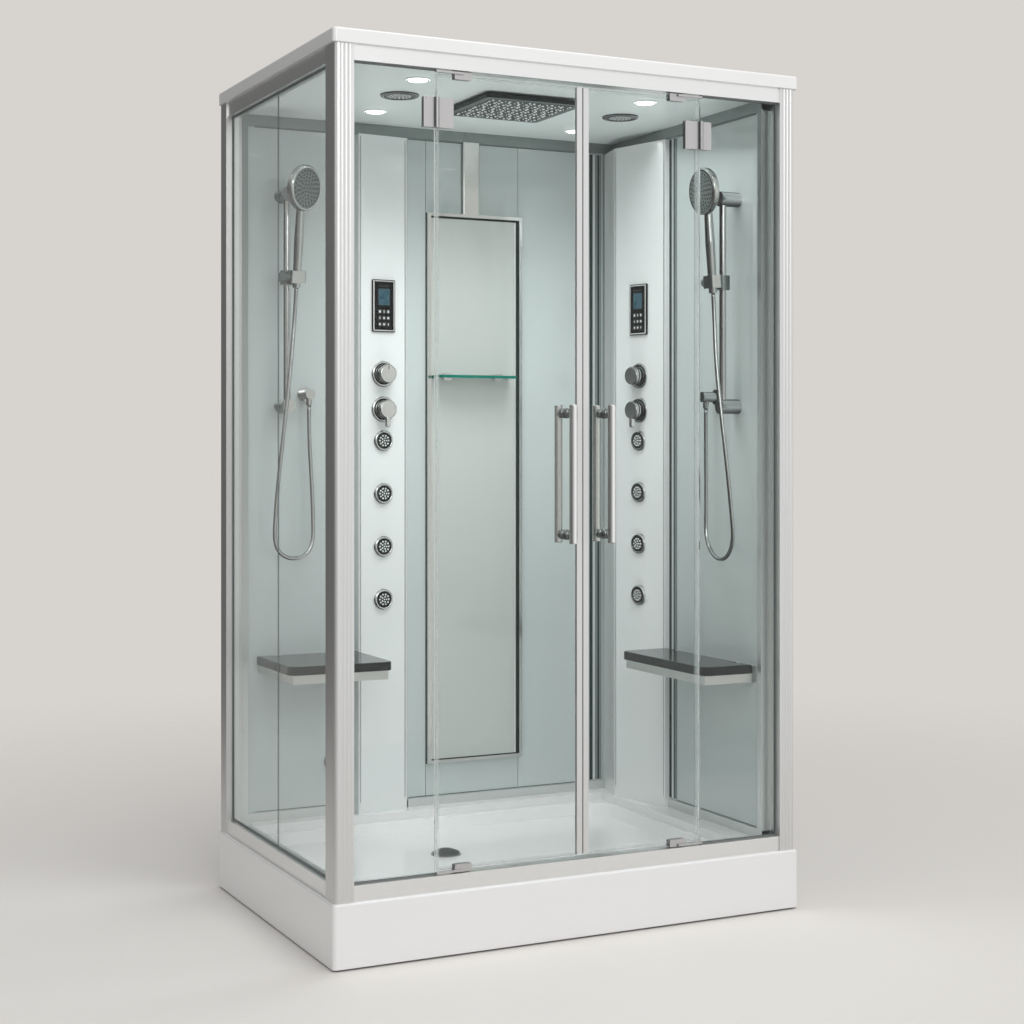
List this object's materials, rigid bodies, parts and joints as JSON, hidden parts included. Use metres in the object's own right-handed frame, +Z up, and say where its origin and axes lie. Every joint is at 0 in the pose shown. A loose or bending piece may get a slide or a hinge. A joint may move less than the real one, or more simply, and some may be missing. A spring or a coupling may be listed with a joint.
{
  "type": "steam shower cabin",
  "caption": "Rectangular glass steam shower cabin with double hinged doors, folding seats, hand showers, body jets, rain head and mirror on a raised tray.",
  "frame": {"origin": "centre of the tray's footprint on the floor", "axes": "+X to the right as seen from the doors, +Y from the doors to the back wall, +Z up"},
  "size_m": [1.3, 0.923, 2.19],
  "materials": {
    "tray_acrylic": "white gloss acrylic",
    "galvanised_steel": "dull zinc",
    "drain_plastic": "matte grey",
    "drain_chrome": "polished",
    "satin_aluminium": "satin anodised",
    "gasket_rubber": "matte black",
    "clear_glass": "polished",
    "shelf_glass": "polished",
    "seal_clear": "clear",
    "hinge_steel": "brushed",
    "chrome": "polished",
    "chromed_plastic": "polished chrome plate",
    "hose_chrome": "smooth silver",
    "white_glass": "back-painted white",
    "column_white": "gloss white",
    "control_black": "black glass look",
    "mirror": "silvered",
    "mirror_trim": "bright",
    "seat_dark": "dark satin",
    "seat_metal": "satin",
    "ceiling_white": "gloss white",
    "roof_white": "gloss white",
    "rain_plate": "satin chrome plate",
    "fitting_plastic": "satin grey",
    "light_lens": "diffuse",
    "generator_case": "powder coat",
    "pipe_copper": "copper"
  },
  "bodies": {
    "cabin": {"shower_tray": "tray_acrylic", "tray_frame": "galvanised_steel", "levelling_feet": "galvanised_steel", "drain_trap": "drain_plastic", "corner_posts": "satin_aluminium", "frame_rails": "satin_aluminium", "glazing_gaskets": "gasket_rubber", "front_fixed_panes": "clear_glass", "side_panes": "clear_glass", "fixed_hinges": "hinge_steel", "back_wall_frame": "satin_aluminium", "back_wall_panels": "white_glass", "side_wall_frame": "satin_aluminium", "side_wall_panels": "white_glass", "left_column": "column_white", "right_column": "column_white", "control_panels": "control_black", "valve_bodies": "chrome", "body_jets": "chrome", "mirror_frame": "mirror_trim", "mirror_glass": "mirror", "glass_shelf": "shelf_glass", "riser_rails": "chrome", "left_hose": "hose_chrome", "right_hose": "hose_chrome", "hose_outlets": "chrome", "seat_hinge_rails": "seat_metal", "ceiling_panel": "ceiling_white", "roof_cover": "roof_white", "rain_head": "rain_plate", "fan_housing": "fitting_plastic", "speaker": "fitting_plastic", "ceiling_lights": "light_lens", "steam_generator": "generator_case", "steam_outlet": "chrome", "water_pipes": "pipe_copper"},
    "left_door": {"left_door_glass": "clear_glass", "left_door_strip": "satin_aluminium", "left_door_seals": "seal_clear", "left_door_handle": "chrome", "left_door_hinges": "hinge_steel"},
    "right_door": {"right_door_glass": "clear_glass", "right_door_strip": "satin_aluminium", "right_door_seals": "seal_clear", "right_door_handle": "chrome", "right_door_hinges": "hinge_steel"},
    "left_seat": {"left_seat_board": "seat_dark", "left_seat_bracket": "seat_metal"},
    "right_seat": {"right_seat_board": "seat_dark", "right_seat_bracket": "seat_metal"},
    "left_slider": {"left_slider": "chromed_plastic"},
    "right_slider": {"right_slider": "chromed_plastic"},
    "left_handset": {"left_handset": "chromed_plastic"},
    "right_handset": {"right_handset": "chromed_plastic"},
    "left_diverter": {"left_diverter_knob": "chrome"},
    "left_mixer": {"left_mixer_lever": "chrome"},
    "right_diverter": {"right_diverter_knob": "chrome"},
    "right_mixer": {"right_mixer_lever": "chrome"},
    "fan_rotor": {"fan_rotor": "fitting_plastic"},
    "drain_cover": {"drain_cover": "drain_chrome"}
  },
  "joints": [
    {"name": "left_door_swing", "type": "hinge", "parent": "cabin", "child": "left_door", "pos_m": [-0.381, -0.433, 1.156], "axis": [0, 0, -1], "range_deg": [0, 90]},
    {"name": "right_door_swing", "type": "hinge", "parent": "cabin", "child": "right_door", "pos_m": [0.36, -0.433, 1.156], "axis": [0, 0, 1], "range_deg": [0, 90]},
    {"name": "left_seat_fold", "type": "hinge", "parent": "cabin", "child": "left_seat", "pos_m": [-0.416, 0.366, 0.622], "axis": [-1, 0, 0], "range_deg": [0, 90]},
    {"name": "right_seat_fold", "type": "hinge", "parent": "cabin", "child": "right_seat", "pos_m": [0.538, -0.165, 0.622], "axis": [0, 1, 0], "range_deg": [0, 90]},
    {"name": "left_slider_slide", "type": "slide", "parent": "cabin", "child": "left_slider", "axis": [0, 0, 1], "range_m": [-0.28, 0.12], "deforming": ["left_hose"]},
    {"name": "left_handset_tilt", "type": "hinge", "parent": "left_slider", "child": "left_handset", "pos_m": [-0.468, 0.308, 1.68], "axis": [1, 0, 0], "range_deg": [-9, 11], "deforming": ["left_hose"]},
    {"name": "right_slider_slide", "type": "slide", "parent": "cabin", "child": "right_slider", "axis": [0, 0, 1], "range_m": [-0.28, 0.12], "deforming": ["right_hose"]},
    {"name": "right_handset_tilt", "type": "hinge", "parent": "right_slider", "child": "right_handset", "pos_m": [0.482, -0.295, 1.655], "axis": [0, -1, 0], "range_deg": [-4, 16], "deforming": ["right_hose"]},
    {"name": "left_diverter_turn", "type": "hinge", "parent": "cabin", "child": "left_diverter", "pos_m": [-0.19056, 0.37004, 1.421], "axis": [0.1157, -0.9933, 0], "range_deg": [-90, 90]},
    {"name": "left_mixer_turn", "type": "hinge", "parent": "cabin", "child": "left_mixer", "pos_m": [-0.19056, 0.37004, 1.321], "axis": [0.1157, -0.9933, 0], "range_deg": [-75, 75]},
    {"name": "right_diverter_turn", "type": "hinge", "parent": "cabin", "child": "right_diverter", "pos_m": [0.52764, 0.1767, 1.421], "axis": [-0.9763, -0.2164, 0], "range_deg": [-90, 90]},
    {"name": "right_mixer_turn", "type": "hinge", "parent": "cabin", "child": "right_mixer", "pos_m": [0.52764, 0.1767, 1.321], "axis": [-0.9763, -0.2164, 0], "range_deg": [-75, 75]},
    {"name": "fan_spin", "type": "hinge", "parent": "cabin", "child": "fan_rotor", "pos_m": [-0.313, -0.039, 2.15], "axis": [0, 0, 1], "continuous": true},
    {"name": "drain_cover_lift", "type": "slide", "parent": "cabin", "child": "drain_cover", "axis": [0, 0, 1], "range_m": [0, 0.06]}
  ]
}
